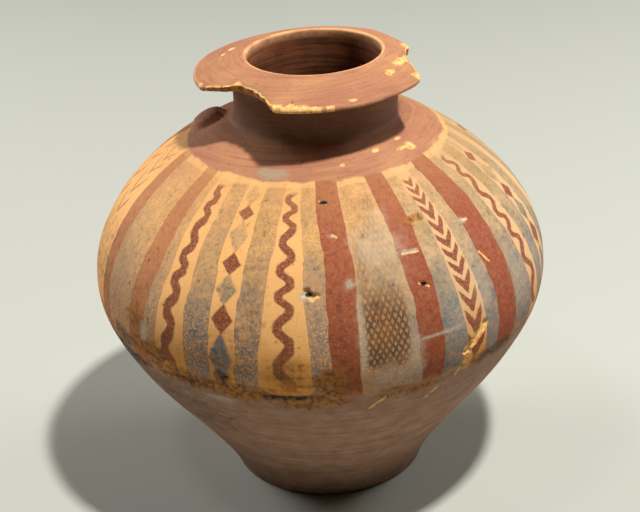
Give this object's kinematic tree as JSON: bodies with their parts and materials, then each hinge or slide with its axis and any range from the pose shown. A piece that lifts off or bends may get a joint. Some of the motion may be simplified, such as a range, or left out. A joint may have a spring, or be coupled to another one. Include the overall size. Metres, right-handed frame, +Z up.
{
  "type": "painted jar",
  "caption": "hollow earthenware storage jar with a flat base, wide belly, short neck and broad down-sloping rim; painted with slip in upright stripes, rim chipped",
  "frame": {"origin": "the middle of the flat underside, on the surface the jar stands on", "axes": "+Z up through the belly's axis, -Y towards the side seen in the picture, +X to that viewer's right"},
  "size_m": [0.32, 0.32, 0.3155],
  "materials": {
    "painted_earthenware": "low-fired clay with painted slips, matt and worn"
  },
  "bodies": {
    "root": {"jar": "painted_earthenware"}
  },
  "joints": []
}
